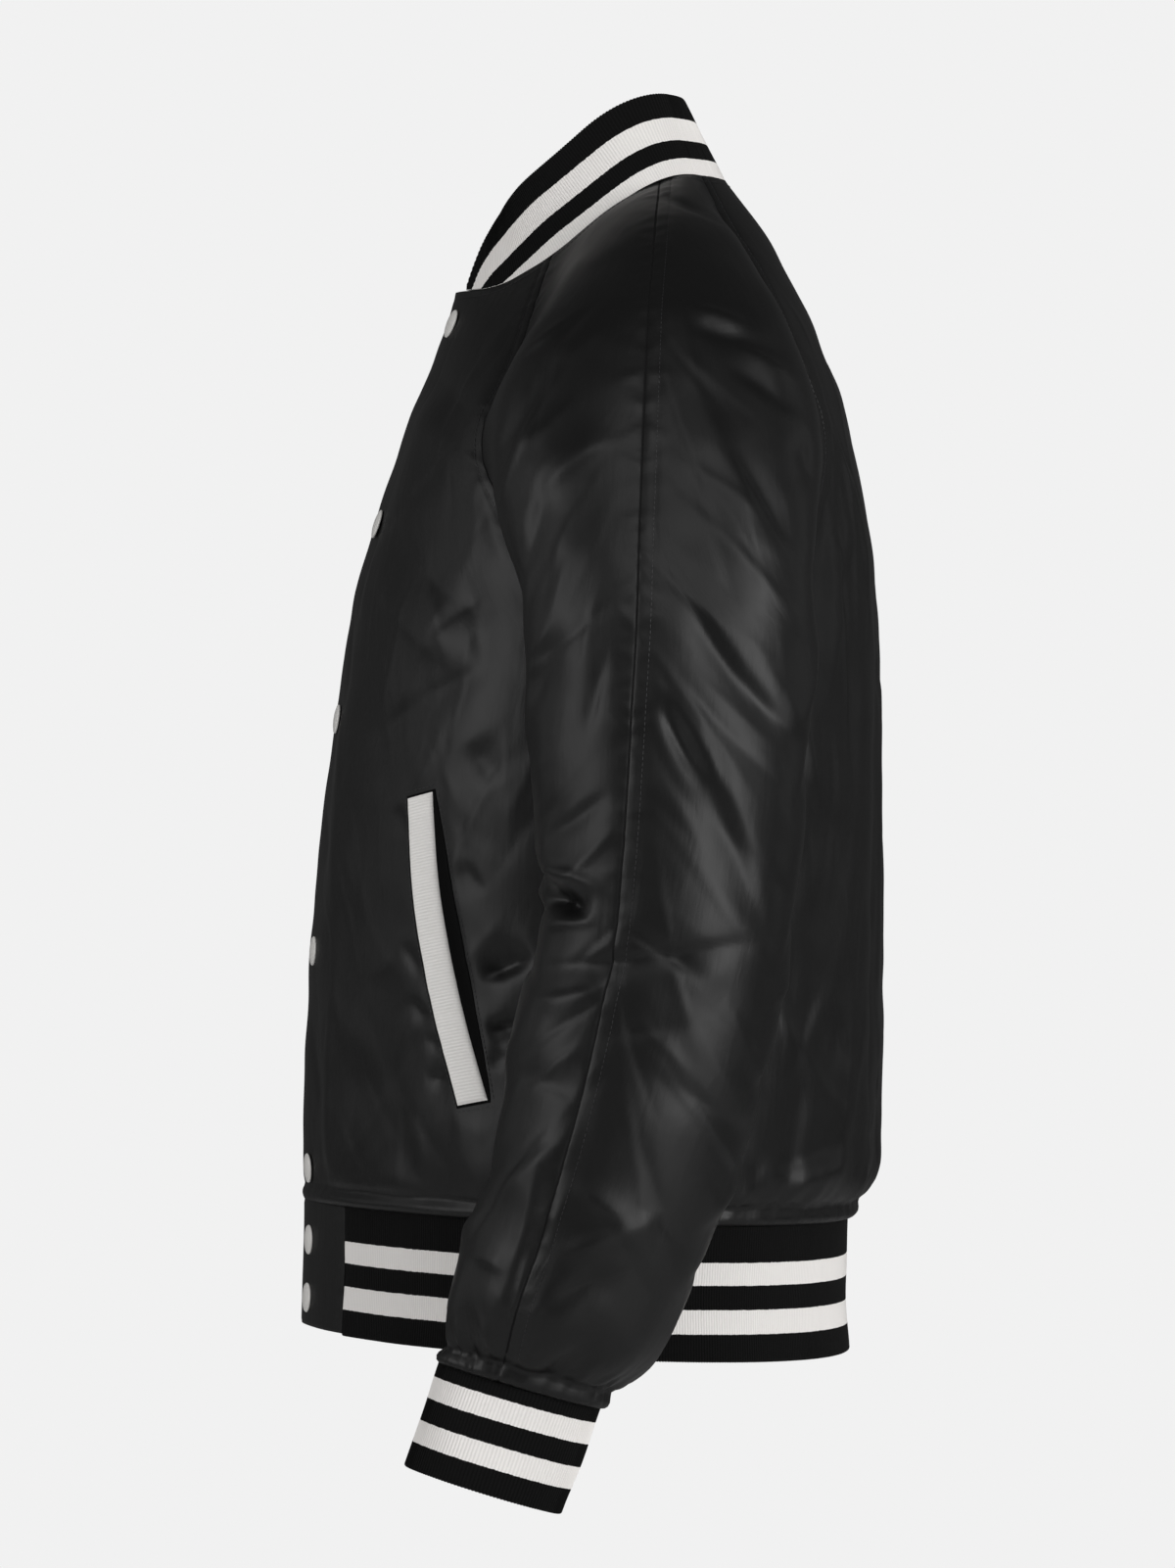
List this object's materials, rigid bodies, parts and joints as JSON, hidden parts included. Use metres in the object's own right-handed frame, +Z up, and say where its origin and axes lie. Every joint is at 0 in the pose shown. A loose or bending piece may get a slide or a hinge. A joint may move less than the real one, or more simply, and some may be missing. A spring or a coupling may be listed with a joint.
{
  "type": "satin varsity jacket",
  "caption": "Hip-length satin varsity jacket, filled out as worn, with raglan sleeves, snap front, slanted welt pockets and striped rib collar, hem and cuffs.",
  "frame": {"origin": "middle of the neck base, level with the shoulders' seams at the neck, where the wearer carries the jacket", "axes": "+Z up, -Y out of the front closure, +X to the wearer's left"},
  "size_m": [0.6673, 0.3449, 0.8092],
  "materials": {
    "satin": "black satin weave with a soft sheen",
    "striped_rib": "matte black rib knit with off-white bands",
    "white_rib": "matte off-white rib knit",
    "snap_enamel": "smooth off-white enamel"
  },
  "bodies": {
    "root": {"front_left": "satin", "front_right": "satin", "back": "satin", "sleeve_left_front": "satin", "sleeve_left_back": "satin", "sleeve_right_front": "satin", "sleeve_right_back": "satin", "hem_tab_left": "satin", "hem_tab_right": "satin", "collar": "striped_rib", "hem_rib": "striped_rib", "cuff_left": "striped_rib", "cuff_right": "striped_rib", "welt_left": "white_rib", "welt_right": "white_rib", "snap_1": "snap_enamel", "snap_2": "snap_enamel", "snap_3": "snap_enamel", "snap_4": "snap_enamel", "snap_5": "snap_enamel", "snap_6": "snap_enamel", "snap_7": "snap_enamel"}
  },
  "joints": []
}
